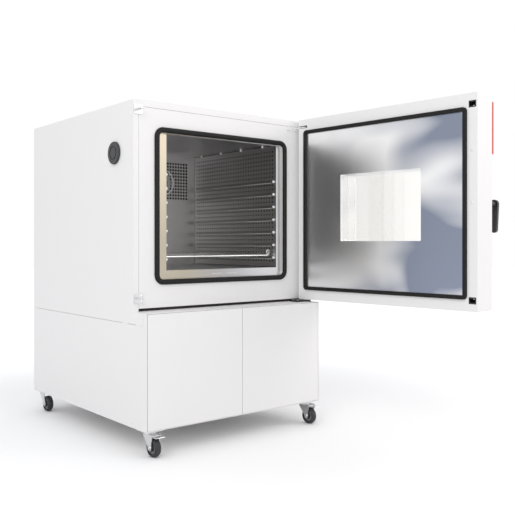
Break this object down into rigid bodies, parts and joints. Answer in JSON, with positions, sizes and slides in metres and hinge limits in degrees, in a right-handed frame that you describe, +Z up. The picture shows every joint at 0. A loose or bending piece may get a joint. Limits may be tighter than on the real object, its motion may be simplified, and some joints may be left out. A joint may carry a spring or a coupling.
{
  "type": "carbon dioxide incubator",
  "caption": "Free-standing incubator cabinet on castors with a windowed, hinged door standing open, a wire shelf in a stainless cavity, fans, side port and a turning door handle.",
  "frame": {"origin": "on the floor, under the middle of the cabinet's base footprint", "axes": "+X to the right seen from the front, +Y to the back, +Z up"},
  "size_m": [1.1535, 1.9585, 1.422],
  "materials": {
    "white_paint": "satin",
    "stainless": "satin",
    "bright_steel": "gloss",
    "motor_metal": "satin",
    "fan_metal": "satin",
    "black_metal": "satin",
    "brass": "satin",
    "seal_rubber": "matte",
    "dark_silicone": "matte",
    "wheel_black": "matte",
    "black_plastic": "satin",
    "grey_plastic": "satin",
    "red_plastic": "gloss",
    "window_glass": "gloss",
    "foam": "matte"
  },
  "bodies": {
    "cabinet": {"outer_casing": "white_paint", "rear_panel": "white_paint", "front_frame": "white_paint", "cabinet_insulation": "foam", "inner_liner": "stainless", "cavity_seal": "seal_rubber", "air_panels": "stainless", "shelf_runners": "stainless", "rear_baffle": "stainless", "fan_inlet_rings": "bright_steel", "fan_motors": "motor_metal", "heater_coil": "bright_steel", "base_frame": "white_paint", "base_side_left": "white_paint", "base_side_right": "white_paint", "base_front_left": "white_paint", "base_front_right": "white_paint", "base_ledge": "white_paint", "base_rear_grille": "white_paint", "control_box": "grey_plastic", "gas_valve": "brass", "mains_inlet": "black_plastic", "port_sleeve": "grey_plastic", "door_catches": "bright_steel", "hinge_bracket_top": "white_paint", "hinge_bracket_bottom": "black_metal", "hinge_pins": "bright_steel", "cover_screws": "bright_steel", "castor_plates": "bright_steel"},
    "door": {"door_shell": "white_paint", "door_inner_frame": "white_paint", "door_insulation": "foam", "door_inner_panel": "stainless", "door_seal": "seal_rubber", "window_frame": "stainless", "window_panes": "window_glass", "control_panel": "grey_plastic", "accent_strip": "red_plastic", "door_bearings": "black_plastic", "latch_boxes": "black_plastic", "handle_rose": "black_plastic"},
    "handle": {"handle_lever": "black_plastic", "latch_pinion": "bright_steel"},
    "upper_latch": {"latch_rod_upper": "bright_steel"},
    "lower_latch": {"latch_rod_lower": "bright_steel"},
    "button": {"power_button": "black_plastic"},
    "shelf": {"wire_shelf": "bright_steel"},
    "plug": {"port_plug": "dark_silicone"},
    "left_fan": {"fan_wheel_left": "fan_metal"},
    "right_fan": {"fan_wheel_right": "fan_metal"},
    "front_left_fork": {"castor_fork_front_left": "bright_steel"},
    "front_right_fork": {"castor_fork_front_right": "bright_steel"},
    "rear_left_fork": {"castor_fork_rear_left": "bright_steel"},
    "rear_right_fork": {"castor_fork_rear_right": "bright_steel"},
    "front_left_wheel": {"castor_wheel_front_left": "wheel_black"},
    "front_right_wheel": {"castor_wheel_front_right": "wheel_black"},
    "rear_left_wheel": {"castor_wheel_rear_left": "wheel_black"},
    "rear_right_wheel": {"castor_wheel_rear_right": "wheel_black"},
    "left_brake": {"brake_pedal_left": "bright_steel"},
    "right_brake": {"brake_pedal_right": "bright_steel"}
  },
  "joints": [
    {"name": "door_hinge", "type": "hinge", "parent": "cabinet", "child": "door", "pos_m": [0.442, -0.483, 1], "axis": [0, 0, 1], "range_deg": [-95, 15]},
    {"name": "handle_turn", "type": "hinge", "parent": "door", "child": "handle", "pos_m": [0.55632, -1.35937, 0.9985], "axis": [0.9962, 0.0872, 0], "range_deg": [0, 90]},
    {"name": "upper_latch_slide", "type": "slide", "parent": "door", "child": "upper_latch", "axis": [0, 0, 1], "range_m": [0, 0.0189]},
    {"name": "lower_latch_slide", "type": "slide", "parent": "door", "child": "lower_latch", "axis": [0, 0, -1], "range_m": [0, 0.0189]},
    {"name": "power_button_press", "type": "slide", "parent": "door", "child": "button", "axis": [-0.9962, -0.0872, 0], "range_m": [0, 0.0025], "stiffness_N_per_m": 400},
    {"name": "shelf_slide", "type": "slide", "parent": "cabinet", "child": "shelf", "axis": [0, -1, 0], "range_m": [0, 0.35]},
    {"name": "port_plug_pull", "type": "slide", "parent": "cabinet", "child": "plug", "axis": [-1, 0, 0], "range_m": [0, 0.12]},
    {"name": "left_fan_spin", "type": "hinge", "parent": "cabinet", "child": "left_fan", "pos_m": [-0.097, 0.27, 1.156], "axis": [0, 1, 0], "continuous": true},
    {"name": "right_fan_spin", "type": "hinge", "parent": "cabinet", "child": "right_fan", "pos_m": [0.097, 0.27, 1.156], "axis": [0, 1, 0], "continuous": true},
    {"name": "front_left_swivel", "type": "hinge", "parent": "cabinet", "child": "front_left_fork", "pos_m": [-0.42, -0.5055, 0.095], "axis": [0, 0, 1], "continuous": true},
    {"name": "front_left_roll", "type": "hinge", "parent": "front_left_fork", "child": "front_left_wheel", "pos_m": [-0.42, -0.5335, 0.0375], "axis": [1, 0, 0], "continuous": true},
    {"name": "front_right_swivel", "type": "hinge", "parent": "cabinet", "child": "front_right_fork", "pos_m": [0.42, -0.5055, 0.095], "axis": [0, 0, 1], "continuous": true},
    {"name": "front_right_roll", "type": "hinge", "parent": "front_right_fork", "child": "front_right_wheel", "pos_m": [0.42, -0.5335, 0.0375], "axis": [1, 0, 0], "continuous": true},
    {"name": "rear_left_swivel", "type": "hinge", "parent": "cabinet", "child": "rear_left_fork", "pos_m": [-0.42, 0.5055, 0.095], "axis": [0, 0, 1], "continuous": true},
    {"name": "rear_left_roll", "type": "hinge", "parent": "rear_left_fork", "child": "rear_left_wheel", "pos_m": [-0.42, 0.4775, 0.0375], "axis": [1, 0, 0], "continuous": true},
    {"name": "rear_right_swivel", "type": "hinge", "parent": "cabinet", "child": "rear_right_fork", "pos_m": [0.42, 0.5055, 0.095], "axis": [0, 0, 1], "continuous": true},
    {"name": "rear_right_roll", "type": "hinge", "parent": "rear_right_fork", "child": "rear_right_wheel", "pos_m": [0.42, 0.4775, 0.0375], "axis": [1, 0, 0], "continuous": true},
    {"name": "left_brake_press", "type": "hinge", "parent": "front_left_fork", "child": "left_brake", "pos_m": [-0.42, -0.5425, 0.0822], "axis": [1, 0, 0], "range_deg": [0, 14]},
    {"name": "right_brake_press", "type": "hinge", "parent": "front_right_fork", "child": "right_brake", "pos_m": [0.42, -0.5425, 0.0822], "axis": [1, 0, 0], "range_deg": [0, 14]}
  ],
  "couplings": [
    {"joint": "upper_latch_slide", "follows": "handle_turn", "m_per_rad": 0.012},
    {"joint": "lower_latch_slide", "follows": "handle_turn", "m_per_rad": 0.012}
  ]
}
